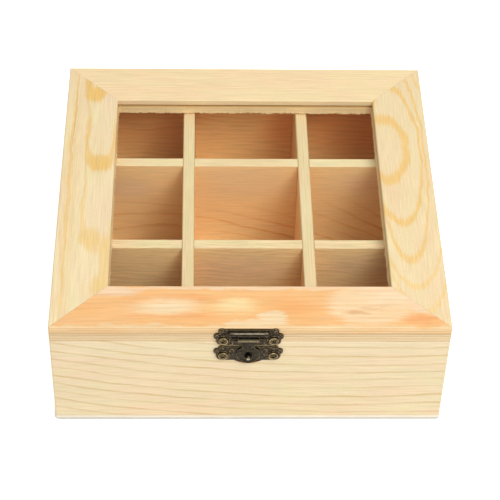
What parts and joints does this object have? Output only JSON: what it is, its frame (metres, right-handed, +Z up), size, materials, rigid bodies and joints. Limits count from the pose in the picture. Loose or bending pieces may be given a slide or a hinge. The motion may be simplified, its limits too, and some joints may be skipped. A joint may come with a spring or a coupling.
{
  "type": "tea bag organizer box",
  "caption": "Square pine box with a grid of compartments for tea bags, under a hinged lid with a glass window and a small bronze hasp latch.",
  "frame": {"origin": "middle of the underside, on the table", "axes": "+Z up, -Y towards the front with the latch, +X to the right seen from the front"},
  "size_m": [0.24, 0.2487, 0.085],
  "materials": {
    "pine": "matte",
    "pine_heartwood": "matte",
    "plywood": "matte",
    "window_glass": "gloss",
    "antique_bronze": "satin",
    "worn_bronze": "satin",
    "steel_pins": "satin"
  },
  "bodies": {
    "box": {"bottom_panel": "plywood", "front_wall": "pine", "back_wall": "pine", "left_wall": "pine", "right_wall": "pine", "long_divider_left": "pine", "long_divider_right": "pine", "cross_divider_front": "pine", "cross_divider_back": "pine", "latch_base_plate": "antique_bronze", "latch_stud": "antique_bronze", "latch_base_screws": "worn_bronze", "hinge_left_box_leaf": "antique_bronze", "hinge_left_pin": "worn_bronze", "hinge_right_box_leaf": "antique_bronze", "hinge_right_pin": "worn_bronze", "hinge_box_screws": "worn_bronze"},
    "lid": {"lid_rim_front": "pine", "lid_rim_back": "pine", "lid_rim_left": "pine", "lid_rim_right": "pine", "lid_frame_front": "pine_heartwood", "lid_frame_back": "pine", "lid_frame_left": "pine", "lid_frame_right": "pine", "window_glass": "window_glass", "glass_bead_front": "pine", "glass_bead_back": "pine", "glass_bead_left": "pine", "glass_bead_right": "pine", "glass_bead_pins": "steel_pins", "latch_lid_plate": "antique_bronze", "latch_hinge_pin": "worn_bronze", "latch_lid_screws": "worn_bronze", "hinge_left_lid_leaf": "antique_bronze", "hinge_right_lid_leaf": "antique_bronze", "hinge_lid_screws": "worn_bronze"},
    "hasp": {"latch_hasp": "antique_bronze"}
  },
  "joints": [
    {"name": "lid_hinge", "type": "hinge", "parent": "box", "child": "lid", "pos_m": [0, 0.1221, 0.0725], "axis": [-1, 0, 0], "range_deg": [0, 105]},
    {"name": "hasp_swing", "type": "hinge", "parent": "lid", "child": "hasp", "pos_m": [-0.0012, -0.1219, 0.0763], "axis": [-1, 0, 0], "range_deg": [0, 153]}
  ]
}
